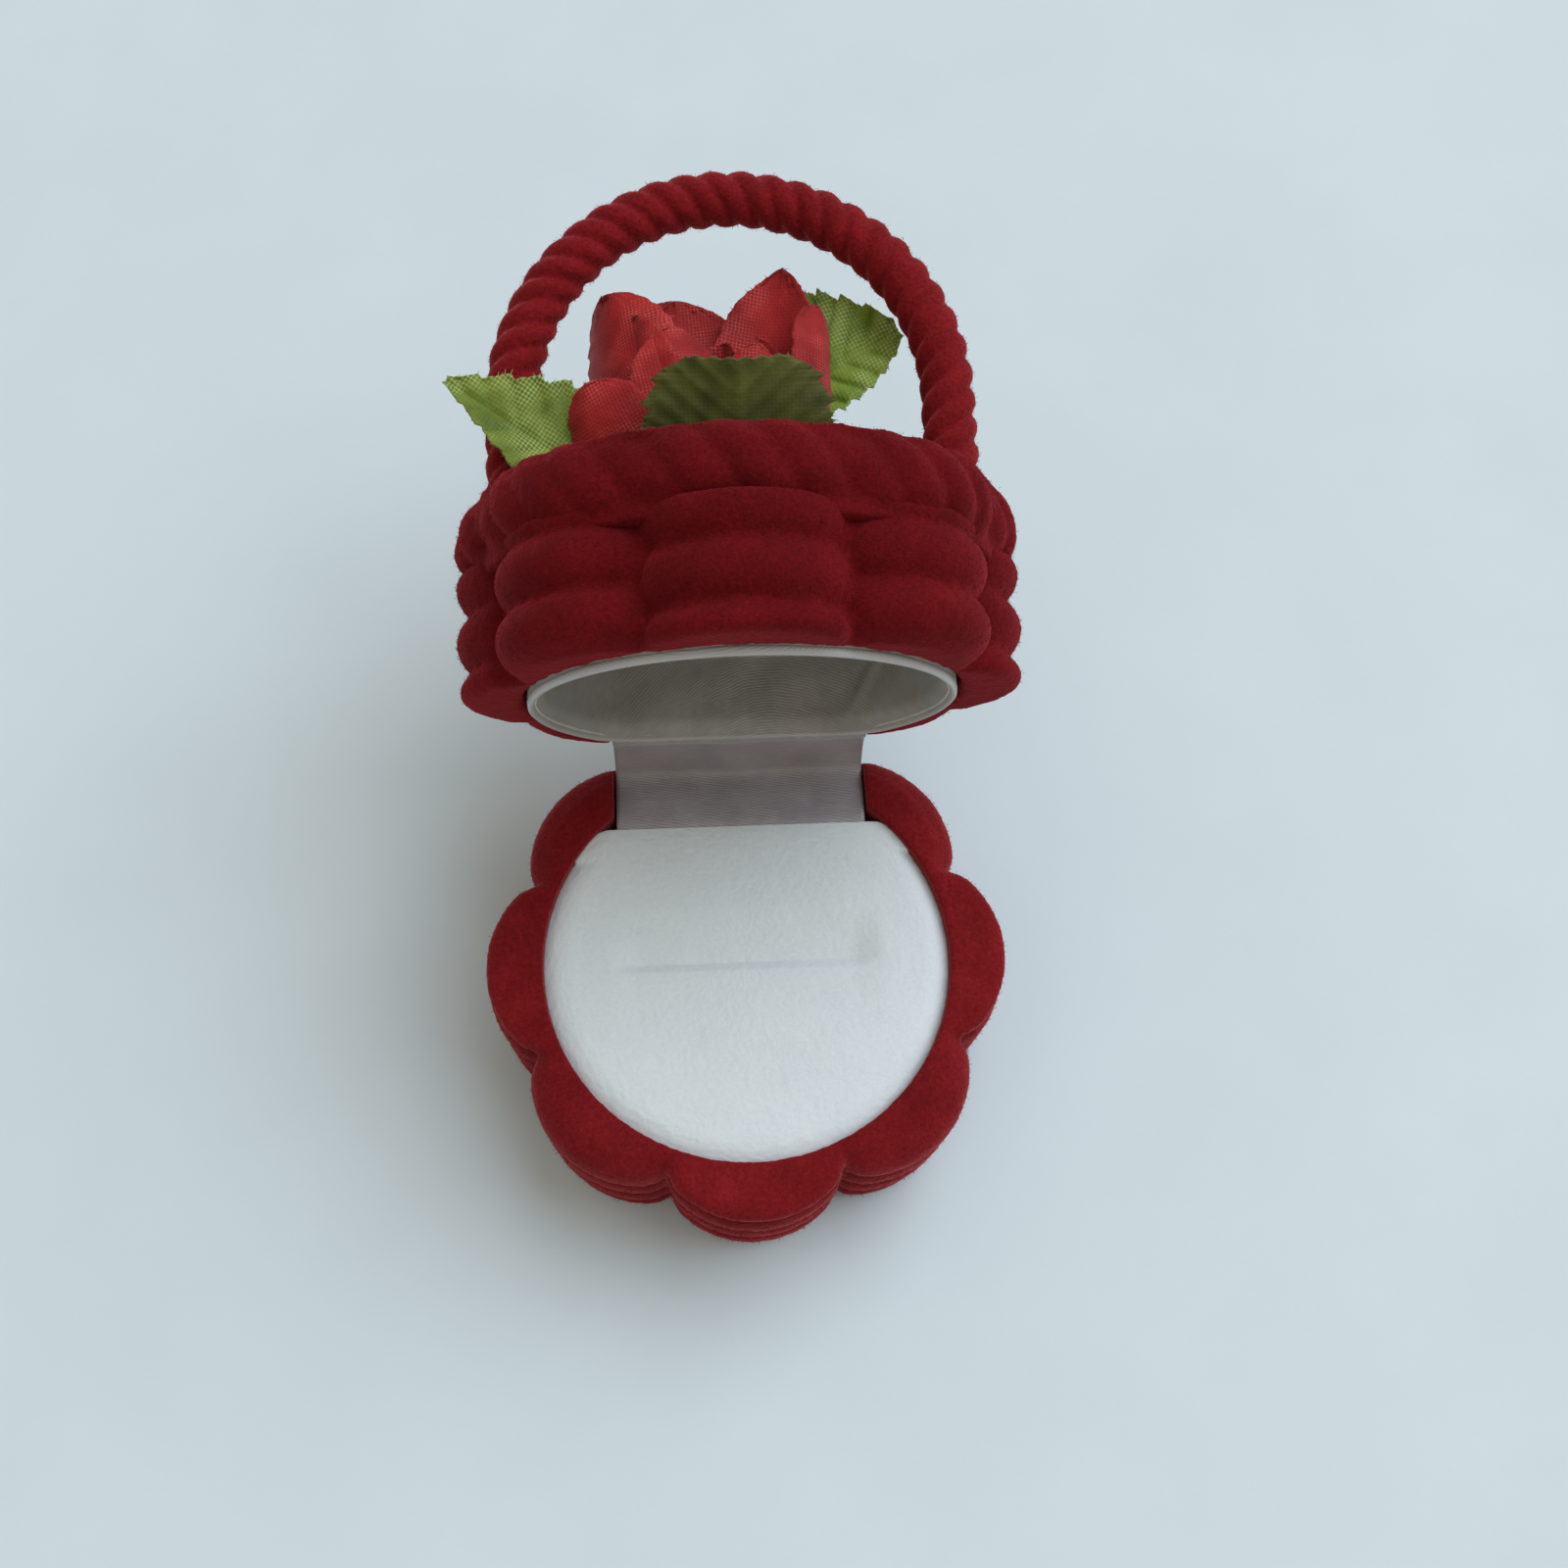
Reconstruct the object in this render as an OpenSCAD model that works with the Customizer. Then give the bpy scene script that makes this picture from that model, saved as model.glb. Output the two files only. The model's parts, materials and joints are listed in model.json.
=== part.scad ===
// Flocked basket ring box: a lobed tub and a lobed lid on a snap hinge, with a rope
// handle and a fabric rose on the lid. Modelled open, standing on its foot.
// The origin is the centre of the foot, +Z is up and the front of the box is at -Y.

/* [Box] */
// Outer radius at the crown of each lobe, at the parting plane
lobe_r = 26.2; // [24:0.2:30]
// Number of lobes round the box
lobes = 8; // [8]
// Radius of the arc that rounds one lobe
lobe_arc_r = 10.9; // [10.4:0.1:12]
// Height of the base, from the foot to the parting plane
base_h = 20; // [18:0.5:24]
// Height of the woven part of the lid
lid_weave_h = 12.2; // [11.5:0.1:14]
// Height of one woven row
row_pitch = 5.3; // [4.8:0.1:6]
// Depth of the valleys between rows
row_depth = 1.1; // [0.6:0.1:1.4]
// Gap between the closed halves
parting_gap = 0.2; // [0.1:0.05:0.4]
// Radius of the bore that takes the ring insert
bore_r = 20.3; // [19.5:0.1:20.6]
// Thickness of the base's floor
floor_t = 2.2; // [1.8:0.1:3]
// Thickness of the lid's top plate
top_t = 1.8; // [1.6:0.1:2.2]

/* [Braided rim] */
// Height of the braided rim on top of the lid
rim_h = 5.9; // [5:0.1:7]
// Inner radius of the braided rim
rim_inner_r = 23.35; // [23.3:0.05:23.6]
// Number of braid strands in one lobe
strands_per_lobe = 4; // [3:1:5]
// Depth of the grooves between strands
strand_depth = 0.45; // [0.2:0.05:0.6]

/* [Handle] */
// Half the distance between the centres of the handle's legs
handle_half_w = 20.7; // [20:0.1:20.8]
// Height of the handle's centre line at its top, over the mouth of the lid
handle_top = 49.7; // [47:0.1:55]
// Radius of the rope that the handle imitates
rope_r = 2.35; // [2.1:0.05:2.4]
// Distance between two turns of the rope
rope_pitch = 2.65; // [2.2:0.05:3.2]

/* [Insert] */
// Radius of the flocked insert
insert_r = 20; // [19:0.1:20]
// How far behind the centre the insert is cut straight
insert_cut_y = 14.3; // [13.5:0.1:14.5]
// Thickness of the flocked card
card_t = 1.2; // [0.8:0.1:1.5]
// Length of the ring slot
slot_l = 24.5; // [22:0.5:26]
// Width of the ring slot
slot_w = 1.8; // [1.4:0.1:2.4]

/* [Liner] */
// Depth of the satin liner in the lid
liner_depth = 8.8; // [7:0.1:9]
// How far behind the centre the liner is cut straight
liner_cut_y = 15.2; // [14.8:0.1:15.3]
// How far the liner's lip stands out of the lid's mouth
lip_proud = 0.6; // [0.4:0.05:0.7]

/* [Hinge] */
// Distance from the box's axis to the hinge pin
pivot_y = 22.5; // [22.3:0.1:23]
// Angle that the lid stands open
open_angle = 79; // [0:1:79]
// Width of the hinge leaves
leaf_w = 24; // [22:0.5:24.5]
// Width of the satin ribbon over the hinge
ribbon_w = 25.4; // [24:0.1:25.6]

/* [Rose] */
// Centre of the rose across the lid
rose_x = -2.4; // [-3:0.1:0]
// Height of the rose's heart over the mouth of the lid
rose_z = 23; // [22:0.5:25]

/* [Hidden] */
$fn = 64;

lobe_steps = 10;
row_steps = 5;
lobe_angle = 360 / lobes;
lobe_c = lobe_r - lobe_arc_r;

// Base
taper = 0.055;
taper_start = 4;
foot_round = 2.4;
base_top = base_h - parting_gap / 2;
base_cut_y = 15.6;
card_top = 19;
foam_clear = 0.3;

// Lid
lid_mouth = parting_gap / 2;
lid_cut_y = 16;
liner_r = 20;
liner_wall = 0.8;
satin_t = 0.5;
peg_r = 1.5;
peg_l = 1.4;
peg_clear = 0.05;
stem_r = 1.2;

// Hinge
knuckle_r = 1.2;
pin_r = 0.6;
pin_clear = 0.04;
leaf_t = 0.5;
leaf_drop = 2.1;
tab_h = 7;
knuckles = 5;
knuckle_gap = 0.15;
knuckle_w = leaf_w / knuckles;
notch_w = ribbon_w + 0.6;
back_clear_y = 22.2;
back_clear_h = 4.5;
back_clear_w = 21;
spring_t = 0.25;
spring_w = 3.6;
ribbon_t = 0.3;

// Outer radius of a lobed circle at an angle, with its crowns at multiples of lobe_angle
function from_crown(a) = abs((a + 360 + lobe_angle / 2) % lobe_angle - lobe_angle / 2);
function lobed_r(a) = let (f = from_crown(a))
    lobe_c * cos(f) + sqrt(pow(lobe_arc_r, 2) - pow(lobe_c * sin(f), 2));

// A woven row bulges at whole pitches on even lobes and at half pitches on odd ones
function odd_lobe(a) = floor((a + 360 + lobe_angle / 2) / lobe_angle) % 2;
function pillow(a, s) = pow(abs(cos(180 * (s / row_pitch - odd_lobe(a) / 2))), 0.6);
function crown_share(a) = pow(cos(90 * from_crown(a) / (lobe_angle / 2)), 0.5);
function woven_r(a, s) = lobed_r(a) - row_depth * crown_share(a) * (1 - pillow(a, s));

// A body given as rings of points from its first end to its last
module ring_stack(rings) {
    n = len(rings[0]);
    m = len(rings);
    sides = [for (i = [0:m - 2], j = [0:n - 1])
        [i * n + j, (i + 1) * n + j, (i + 1) * n + (j + 1) % n, i * n + (j + 1) % n]];
    first = [for (j = [0:n - 1]) j];
    last = [for (j = [n - 1:-1:0]) (m - 1) * n + j];
    polyhedron(points = [for (ring = rings) each ring], faces = concat(sides, [first, last]));
}

// A ring-shaped body given as closed sections all the way round
module section_ring(sections) {
    n = len(sections[0]);
    m = len(sections);
    polyhedron(points = [for (section = sections) each section],
        faces = [for (i = [0:m - 1], j = [0:n - 1])
            [i * n + j, i * n + (j + 1) % n, ((i + 1) % m) * n + (j + 1) % n,
                ((i + 1) % m) * n + j]]);
}

// A woven, lobed body between two heights, where s is the distance from the parting plane
module woven_body(z_list, side, shrink) {
    steps = lobes * lobe_steps;
    ring_stack([for (z = z_list)
        [for (j = [0:steps - 1]) let (a = 360 * j / steps, s = abs(z - side),
            r = woven_r(a, s) - shrink(s, z))
            [r * cos(a), r * sin(a), z]]]);
}

// A circle of radius r cut straight at the back
module d_shape(r, cut_y) {
    intersection() {
        circle(r = r);
        translate([-2 * r, -2 * r]) square([4 * r, 2 * r + cut_y]);
    }
}

// Places what it is given, drawn over the mouth of the closed lid, on the open lid
module on_lid() {
    translate([0, pivot_y, base_h]) rotate([-open_angle, 0, 0]) translate([0, -pivot_y, 0])
        children();
}

// Clears the back lobe and the hinge, for the half of the box on the given side of the parting
module hinge_clearance(up, cut_y) {
    mirror([0, 0, up ? 0 : 1]) {
        translate([-notch_w / 2, cut_y - 2, -1]) cube([notch_w, 2 * lobe_r, 1 + leaf_drop + leaf_t]);
        translate([-back_clear_w / 2, back_clear_y, -1])
            cube([back_clear_w, lobe_r, 1 + back_clear_h]);
    }
}

function foot_inset(z) = z < foot_round
    ? foot_round - sqrt(pow(foot_round, 2) - pow(foot_round - z, 2)) : 0;
function base_shrink(s, z) = taper * max(0, s - taper_start) + foot_inset(z);

module base_shell() {
    levels = concat([0, foot_round / 8, foot_round / 3],
        [for (z = [1.6:row_pitch / row_steps:base_top - 0.5]) z], [base_top]);
    color("firebrick") difference() {
        woven_body(levels, base_h, function(s, z) base_shrink(s, z));
        translate([0, 0, floor_t]) linear_extrude(base_h) d_shape(bore_r, base_cut_y);
        translate([0, 0, base_h]) hinge_clearance(false, base_cut_y);
    }
}

module foam_block() {
    foam_top = card_top - card_t;
    color("white") difference() {
        translate([0, 0, floor_t]) linear_extrude(foam_top - floor_t)
            d_shape(insert_r - foam_clear, insert_cut_y);
        translate([-slot_l / 2, -slot_w / 2, foam_top / 3]) cube([slot_l, slot_w, foam_top]);
    }
}

module insert_card() {
    color("whitesmoke") difference() {
        translate([0, 0, card_top - card_t]) linear_extrude(card_t)
            d_shape(insert_r, insert_cut_y);
        translate([-slot_l / 2, -slot_w / 2, card_top - 2 * card_t])
            cube([slot_l, slot_w, 3 * card_t]);
    }
}

// One hinge leaf, drawn for the lid with the pin's axis at z = 0: a tab, a flange and knuckles
module hinge_leaf(wall_y, first_knuckle) {
    difference() {
        union() {
            translate([-leaf_w / 2, wall_y - leaf_t, leaf_drop]) cube([leaf_w, leaf_t, tab_h]);
            translate([-leaf_w / 2, wall_y - leaf_t, leaf_drop])
                cube([leaf_w, pivot_y - knuckle_r + leaf_t - wall_y + leaf_t, leaf_t]);
            for (k = [first_knuckle:2:knuckles - 1]) {
                x = -leaf_w / 2 + k * knuckle_w + knuckle_gap / 2;
                translate([x, pivot_y, 0]) rotate([0, 90, 0])
                    cylinder(r = knuckle_r, h = knuckle_w - knuckle_gap);
                translate([x, pivot_y - knuckle_r, 0])
                    cube([knuckle_w - knuckle_gap, leaf_t, leaf_drop + leaf_t]);
            }
        }
        translate([-leaf_w, pivot_y, 0]) rotate([0, 90, 0])
            cylinder(r = pin_r + pin_clear, h = 2 * leaf_w);
    }
}

module hinge_leaf_base() {
    color("silver") translate([0, 0, base_h]) mirror([0, 0, 1]) hinge_leaf(base_cut_y, 0);
}

module hinge_leaf_lid() {
    color("silver") on_lid() hinge_leaf(lid_cut_y, 1);
}

module hinge_pin() {
    pin_l = leaf_w + 0.6;
    color("gray") translate([-pin_l / 2, pivot_y, base_h]) rotate([0, 90, 0])
        cylinder(r = pin_r, h = pin_l);
}

// Two strips of spring steel that press on the lid's knuckles and snap it open or shut
module snap_springs() {
    low = base_h - leaf_drop;
    high = base_h - knuckle_r - 0.1;
    root_y = base_cut_y + 0.6;
    strip = [[root_y, low], [root_y + 3, low], [pivot_y + 0.4, high - spring_t],
        [pivot_y + 0.4, high], [root_y + 3, low + spring_t], [root_y, low + spring_t]];
    color("lightsteelblue") for (k = [1, 3]) {
        x = -leaf_w / 2 + (k + 0.5) * knuckle_w;
        translate([x + spring_w / 2, 0, 0]) rotate([90, 0, -90]) mirror([1, 0, 0])
            linear_extrude(spring_w) polygon(strip);
    }
}

// The ribbon's two ends: one lies behind the insert, the other behind the liner
module ribbon_base() {
    y0 = insert_cut_y + 0.2;
    color("thistle") translate([-ribbon_w / 2, y0, card_top - 0.4])
        cube([ribbon_w, 20.6 - y0, ribbon_t]);
}

module ribbon_lid() {
    y0 = liner_cut_y + 0.3;
    color("thistle") on_lid() translate([-ribbon_w / 2, y0, 0.3])
        cube([ribbon_w, 20.8 - y0, ribbon_t]);
}

module lid_shell() {
    levels = concat([for (k = [0:11]) lid_mouth + k * (lid_weave_h - lid_mouth) / 12],
        [lid_weave_h]);
    top_z = lid_weave_h - top_t;
    color("firebrick") on_lid() difference() {
        woven_body(levels, 0, function(s, z) 0);
        translate([0, 0, -1]) linear_extrude(top_z + 1) d_shape(liner_r + 0.2, lid_cut_y);
        hinge_clearance(true, lid_cut_y);
        for (side = [-1, 1])
            translate([side * handle_half_w, 0, lid_weave_h - peg_l - peg_clear])
                cylinder(r = peg_r + peg_clear, h = top_t);
        translate([rose_x, 0, top_z - 1]) cylinder(r = stem_r + peg_clear, h = top_t + 2);
    }
}

// The braid is one band whose outside is fluted by slanted strands
module braided_rim() {
    strands = lobes * strands_per_lobe;
    steps = strands * 4;
    slant = 5;
    levels = [0, 1.2, 3, rim_h - 1.2, rim_h];
    insets = [0.9, 0, 0, 0.5, 1.7];
    color("firebrick") on_lid() section_ring([for (j = [0:steps - 1]) let (a = 360 * j / steps)
        concat([[rim_inner_r * cos(a), rim_inner_r * sin(a), lid_weave_h]],
            [for (k = [0:4]) let (z = levels[k], b = a + slant * z / rim_h,
                flute = strand_depth * (1 - abs(cos(strands * b / 2))),
                r = max(rim_inner_r + 0.3, lobed_r(a) - insets[k] - flute))
                [r * cos(a), r * sin(a), lid_weave_h + z]],
            [[rim_inner_r * cos(a), rim_inner_r * sin(a), lid_weave_h + rim_h - 0.3]])]);
}

// The handle's centre line: a leg, a half circle and a leg, by distance from the left foot
handle_leg = handle_top - handle_half_w - lid_weave_h;
handle_l = 2 * handle_leg + PI * handle_half_w;
function handle_at(d) = d < handle_leg ? [-handle_half_w, 0, lid_weave_h + d, 90]
    : d > handle_l - handle_leg ? [handle_half_w, 0, lid_weave_h + handle_l - d, -90]
    : let (b = 180 - (d - handle_leg) / handle_half_w * 180 / PI)
        [handle_half_w * cos(b), 0, lid_weave_h + handle_leg + handle_half_w * sin(b), b - 90];

module rope_handle() {
    rings = 2 * round(handle_l / rope_pitch);
    sides = 8;
    color("firebrick") on_lid() {
        ring_stack([for (i = [0:rings]) let (p = handle_at(handle_l * i / rings),
            r = rope_r - (i % 2 == 0 ? 0.25 : 0))
            [for (k = [0:sides - 1]) let (q = 360 * k / sides, u = r * cos(q), v = r * sin(q))
                [p[0] + u * sin(p[3]), v, p[2] - u * cos(p[3])]]]);
        for (side = [-1, 1])
            translate([side * handle_half_w, 0, lid_weave_h - peg_l])
                cylinder(r = peg_r, h = peg_l + 0.5);
    }
}

// The stiff cup that the satin is drawn over
module liner_card() {
    color("lightgray") on_lid() difference() {
        translate([0, 0, -lip_proud + satin_t]) linear_extrude(liner_depth + liner_wall)
            d_shape(liner_r - 0.2, liner_cut_y);
        translate([0, 0, -1 - lip_proud]) linear_extrude(liner_depth + 1 + satin_t)
            d_shape(liner_r - 0.2 - liner_wall, liner_cut_y - liner_wall);
    }
}

module satin_liner() {
    inner_r = liner_r - 0.2 - liner_wall - satin_t;
    color("gainsboro") on_lid() difference() {
        union() {
            translate([0, 0, -lip_proud]) linear_extrude(satin_t) d_shape(liner_r, liner_cut_y);
            translate([0, 0, -lip_proud]) linear_extrude(liner_depth + satin_t)
                d_shape(inner_r + satin_t, liner_cut_y - liner_wall);
        }
        translate([0, 0, -1 - lip_proud]) linear_extrude(liner_depth + 1)
            d_shape(inner_r, liner_cut_y - liner_wall - satin_t);
    }
}

module at_rose() {
    on_lid() translate([rose_x, 0, rose_z]) children();
}

module rose_stem() {
    stem_bottom = lid_weave_h - top_t + 0.1;
    color("darkgreen") on_lid() translate([rose_x, 0, stem_bottom])
        cylinder(r = stem_r, h = rose_z - 4 - stem_bottom);
}

module rose_calyx() {
    color("olivedrab") at_rose() rotate_extrude()
        polygon([[0, -4], [2, -4], [3.4, -2.6], [4, -1], [3.4, 0], [0, 0]]);
}

// A cup of petals: each petal rises to a rounded point and opens outwards
module petal_cup(petals, phase, low_r, high_r, low, high, dip, thick) {
    steps = petals * 8;
    levels = 4;
    section_ring([for (j = [0:steps - 1]) let (a = 360 * j / steps,
        w = abs(cos(petals * (a - phase) / 2)), top = high - dip * (1 - w))
        concat([for (k = [0:levels]) let (t = k / levels, z = low + (top - low) * t,
            r = low_r + (high_r - low_r) * pow(t, 0.8) + thick)
            [r * cos(a), r * sin(a), z]],
            [for (k = [levels:-1:0]) let (t = k / levels, z = low + (top - low) * t,
                r = low_r + (high_r - low_r) * pow(t, 0.8))
                [r * cos(a), r * sin(a), z]])]);
}

module rose_outer_petals() {
    color("crimson") at_rose() petal_cup(5, 160, 4.4, 10.6, -1.5, 18.5, 10, 0.6);
}

module rose_middle_petals() {
    color("crimson") at_rose() petal_cup(4, 20, 3.4, 7.4, 0.4, 16.4, 5, 0.6);
}

module rose_inner_petals() {
    color("crimson") at_rose() petal_cup(3, 70, 2.6, 4.6, 0.8, 14, 3, 0.6);
}

module rose_bud() {
    color("firebrick") at_rose() rotate_extrude()
        polygon([[0, 0.3], [1.6, 0.4], [2.3, 2.4], [2.6, 6], [2.3, 9], [1.4, 11.4], [0, 12.2]]);
}

// A leaf along +X from its stalk, widest before the middle and folded along its midrib
module leaf(l, w, bend, thick) {
    steps = 8;
    across = 4;
    ring_stack([for (i = [0:steps]) let (t = i / steps, x = l * t,
        half = w / 2 * pow(sin(180 * pow(0.03 + 0.93 * t, 0.8)), 0.7) + 0.3, z = bend * t * t)
        concat([for (k = [0:across]) let (v = -1 + 2 * k / across)
            [x, half * v, z + 0.12 * half * v * v]],
            [for (k = [across:-1:0]) let (v = -1 + 2 * k / across)
                [x, half * v, z + 0.12 * half * v * v + thick]])]);
}

// A leaf that starts at a point over the lid, points along a bearing and rises, and is turned
// about its own length
module placed_leaf(start, bearing, rise, turn, l, w, bend) {
    on_lid() translate(start) rotate([0, 0, bearing]) rotate([0, -rise, 0])
        rotate([turn, 0, 0]) leaf(l, w, bend, 0.5);
}

module leaf_left() {
    color("olivedrab") placed_leaf([-9.8, -2.3, 20.6], 190, 28, -85, 20.2, 11, 0.6);
}

module leaf_front() {
    color("darkolivegreen") placed_leaf([1, -7.4, 19.5], -90, 58, 0, 10.4, 18, 0.5);
}

module leaf_right() {
    color("olivedrab") placed_leaf([8.2, 5.4, 28.6], -15, 34, 84, 11.8, 12.6, 0.4);
}

base_shell();
foam_block();
insert_card();
hinge_leaf_base();
hinge_pin();
snap_springs();
ribbon_base();
lid_shell();
braided_rim();
rope_handle();
liner_card();
satin_liner();
hinge_leaf_lid();
ribbon_lid();
rose_stem();
rose_calyx();
rose_outer_petals();
rose_middle_petals();
rose_inner_petals();
rose_bud();
leaf_left();
leaf_front();
leaf_right();
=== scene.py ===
import json
import math

import bpy
import numpy as np
from mathutils import Matrix, Vector


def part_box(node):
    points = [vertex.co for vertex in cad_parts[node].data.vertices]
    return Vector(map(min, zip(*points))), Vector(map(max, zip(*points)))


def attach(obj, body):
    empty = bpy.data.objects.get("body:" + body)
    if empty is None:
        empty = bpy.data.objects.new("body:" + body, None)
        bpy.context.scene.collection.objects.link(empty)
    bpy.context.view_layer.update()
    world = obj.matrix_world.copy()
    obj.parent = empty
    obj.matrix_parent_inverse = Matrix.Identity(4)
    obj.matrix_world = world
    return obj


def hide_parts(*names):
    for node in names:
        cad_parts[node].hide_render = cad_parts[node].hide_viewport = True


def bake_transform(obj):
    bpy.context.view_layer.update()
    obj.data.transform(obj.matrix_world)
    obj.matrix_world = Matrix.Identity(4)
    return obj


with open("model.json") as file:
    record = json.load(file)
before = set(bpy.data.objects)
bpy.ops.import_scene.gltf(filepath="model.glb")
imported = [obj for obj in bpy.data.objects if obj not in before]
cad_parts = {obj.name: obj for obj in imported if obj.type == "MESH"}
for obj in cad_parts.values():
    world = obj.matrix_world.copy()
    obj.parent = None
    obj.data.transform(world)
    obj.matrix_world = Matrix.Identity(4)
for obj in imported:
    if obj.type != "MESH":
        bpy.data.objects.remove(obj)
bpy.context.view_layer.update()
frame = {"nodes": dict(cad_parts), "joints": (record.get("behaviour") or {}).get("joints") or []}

# Lengths below are in millimetres, as the object is drawn, and become metres in mesh().
MM = 0.001
HINGE = frame["joints"][0]
PIVOT_Y, PIVOT_Z = (value / MM for value in HINGE["pos_m"][1:])
OPEN_ANGLE = math.radians(HINGE["range_deg"][1])
RNG = np.random.default_rng(7)

# Sizes that the moulded shells share
LOBES = 8
LOBE_STEP = 2 * math.pi / LOBES
LOBE_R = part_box("base_shell")[1][0] / MM
LOBE_ARC_R = 10.9
LOBE_C = LOBE_R - LOBE_ARC_R
ROW_PITCH = 5.3
ROW_DEPTH = 2.3
BASE_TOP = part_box("base_shell")[1][2] / MM
BASE_CUT_Y = 15.6
LID_CUT_Y = 16.0
BORE_R = 20.3
EDGE_ROUND = 1.5
FLOOR_T = 2.2
WEAVE_H = 12.2
RIM_H = 5.9
RIM_INNER_R = 23.35
NOTCH_W = 26.0
NOTCH_DROP = 2.6
BACK_CLEAR = (21.0, 22.2, 4.5)
HANDLE_HALF_W = 20.7
HANDLE_TOP = 49.7
ROPE_R = 2.35
CARD_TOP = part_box("insert_card")[1][2] / MM
INSERT_CUT_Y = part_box("insert_card")[1][1] / MM
INSERT_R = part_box("insert_card")[1][0] / MM
LINER_CUT_Y = 15.2
LINER_R = 20.0
ROSE = np.array([-2.4, 0.0, 23.0])
LID_PLATE_T = 1.8

# The flock's hairs and the thickness of the cloths
HAIRS_PER_MM2 = 9
HAIR_LENGTH = 0.20
FLOWER_CLOTH_T = 0.16
LINER_CLOTH_T = 0.2
RIBBON_T = 0.12


# ---------------------------------------------------------------- meshes

def on_lid(points):
    """Points over the mouth of the closed lid, moved to where the open lid holds them."""
    p = np.asarray(points, float)
    dy, z = p[..., 1] - PIVOT_Y, p[..., 2]
    c, s = math.cos(OPEN_ANGLE), math.sin(OPEN_ANGLE)
    return np.stack([p[..., 0], PIVOT_Y + dy * c + z * s, PIVOT_Z - dy * s + z * c], axis=-1)


def over_mouth(points):
    """The inverse of on_lid."""
    p = np.asarray(points, float)
    y, z = p[..., 1] - PIVOT_Y, p[..., 2] - PIVOT_Z
    c, s = math.cos(OPEN_ANGLE), math.sin(OPEN_ANGLE)
    return np.stack([p[..., 0], PIVOT_Y + y * c - z * s, y * s + z * c], axis=-1)


def mesh(name, points, faces, material=None, uv=None):
    """An object from points in millimetres. uv holds one pair per point."""
    data = bpy.data.meshes.new(name)
    data.from_pydata((np.asarray(points, float) * MM).tolist(), [], [list(f) for f in faces])
    data.validate()
    if uv is not None:
        layer = data.uv_layers.new(name="cloth")
        index = np.zeros(len(data.loops), np.int32)
        data.loops.foreach_get("vertex_index", index)
        layer.data.foreach_set("uv", np.asarray(uv, np.float32)[index].ravel())
    data.polygons.foreach_set("use_smooth", [True] * len(data.polygons))
    if material:
        data.materials.append(material)
    piece = bpy.data.objects.new(name, data)
    bpy.context.scene.collection.objects.link(piece)
    return piece


def grid_faces(rows, columns, wrap_rows=False, wrap_columns=False, first=0):
    """Quads of a grid of points stored row by row."""
    i = np.arange(rows if wrap_rows else rows - 1)
    j = np.arange(columns if wrap_columns else columns - 1)
    i, j = np.meshgrid(i, j, indexing="ij")
    a = first + i * columns + j
    b = first + i * columns + (j + 1) % columns
    c = first + ((i + 1) % rows) * columns + (j + 1) % columns
    d = first + ((i + 1) % rows) * columns + j
    return np.stack([a, b, c, d], axis=-1).reshape(-1, 4).tolist()


def stacked(name, rings, material, lid=False):
    """A closed body from rings of points, the first and last filled."""
    rings = np.asarray(rings, float)
    rows, columns = rings.shape[:2]
    faces = grid_faces(rows, columns, wrap_columns=True)
    faces.append(list(range(columns))[::-1])
    faces.append(list(range((rows - 1) * columns, rows * columns)))
    points = rings.reshape(-1, 3)
    return mesh(name, on_lid(points) if lid else points, faces, material)


def cut(piece, low, high, lid=False):
    """Cuts a box out of a piece."""
    x, y, z = zip(low, high)
    corners = np.array([[x[i], y[j], z[k]] for k in (0, 1) for j in (0, 1) for i in (0, 1)])
    faces = [(0, 2, 3, 1), (4, 5, 7, 6), (0, 1, 5, 4), (2, 6, 7, 3), (0, 4, 6, 2), (1, 3, 7, 5)]
    tool = mesh("cutter", on_lid(corners) if lid else corners, faces)
    modifier = piece.modifiers.new("cut", "BOOLEAN")
    modifier.operation = "DIFFERENCE"
    modifier.solver = "MANIFOLD"
    modifier.object = tool
    applied(piece)
    bpy.data.objects.remove(tool)


def applied(piece):
    """Bakes a piece's modifiers into its mesh."""
    bpy.context.view_layer.update()
    graph = bpy.context.evaluated_depsgraph_get()
    data = bpy.data.meshes.new_from_object(piece.evaluated_get(graph), depsgraph=graph)
    piece.modifiers.clear()
    piece.data = data
    data.polygons.foreach_set("use_smooth", [True] * len(data.polygons))


def flocked(piece, voxel=0.42, rounds=3, pile=0.07):
    """Rounds a moulded body as flocking does: even facets, soft edges and a short uneven pile."""
    remesh = piece.modifiers.new("even", "REMESH")
    remesh.mode = "VOXEL"
    remesh.voxel_size = voxel * MM
    remesh.use_smooth_shade = True
    if rounds:
        smooth = piece.modifiers.new("round", "SMOOTH")
        smooth.factor = 0.5
        smooth.iterations = rounds
    add_pile(piece, pile)
    applied(piece)


def thicken(piece, thickness):
    """Gives a sheet of cloth its thickness, half to each side."""
    thick = piece.modifiers.new("thick", "SOLIDIFY")
    thick.thickness = thickness * MM
    thick.offset = 0


def add_pile(piece, pile):
    """A fine uneven displacement, as a nap has."""
    for size, share in ((0.45, 1.0), (1.6, 0.6)):
        texture = bpy.data.textures.new("pile", "CLOUDS")
        texture.noise_scale = size * MM
        texture.noise_depth = 1
        nap = piece.modifiers.new("pile", "DISPLACE")
        nap.texture = texture
        nap.texture_coords = "LOCAL"
        nap.strength = pile * share * 2 * MM
        nap.mid_level = 0.5


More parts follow.
